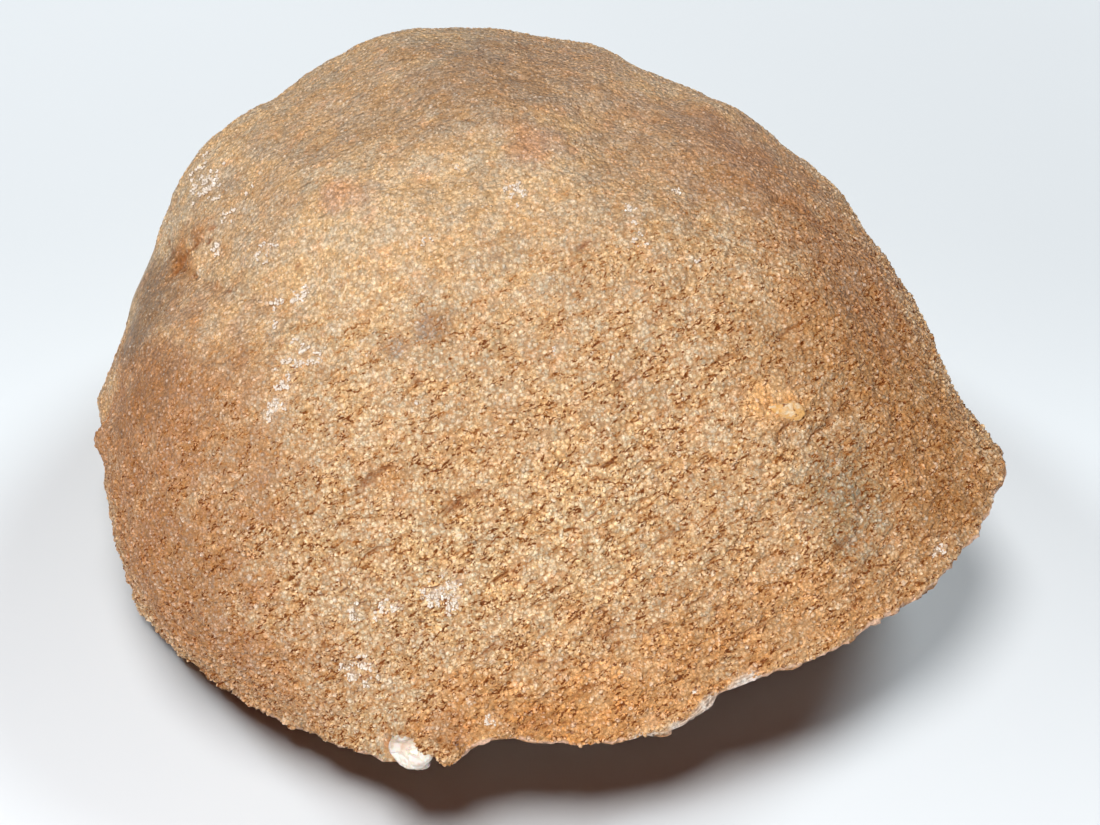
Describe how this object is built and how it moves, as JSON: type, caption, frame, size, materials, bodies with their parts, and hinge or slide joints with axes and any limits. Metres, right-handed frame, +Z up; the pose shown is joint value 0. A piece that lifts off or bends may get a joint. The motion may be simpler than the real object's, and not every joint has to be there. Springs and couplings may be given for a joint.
{
  "type": "geode",
  "caption": "Broken half of a quartz geode: sandy pimpled stone shell lying on its broken face, hollow lined with quartz points.",
  "frame": {"origin": "centre of the bounding box in plan, at the level of the surface that the stone rests on", "axes": "+X along the stone's length towards its pointed end, -Y towards the raised broken rim and the white lump, +Z up"},
  "size_m": [0.088, 0.077, 0.0403],
  "materials": {
    "sandy_stone": "sandy, densely pimpled tan-orange skin with rust-brown pits; grey banded chalcedony on the break",
    "clear_quartz": "clear to milky quartz points, glassy faces",
    "milky_quartz": "milky white, faintly banded, slightly waxy break"
  },
  "bodies": {
    "root": {"rind": "sandy_stone", "quartz_crust": "clear_quartz", "white_quartz_lump": "milky_quartz"}
  },
  "joints": []
}
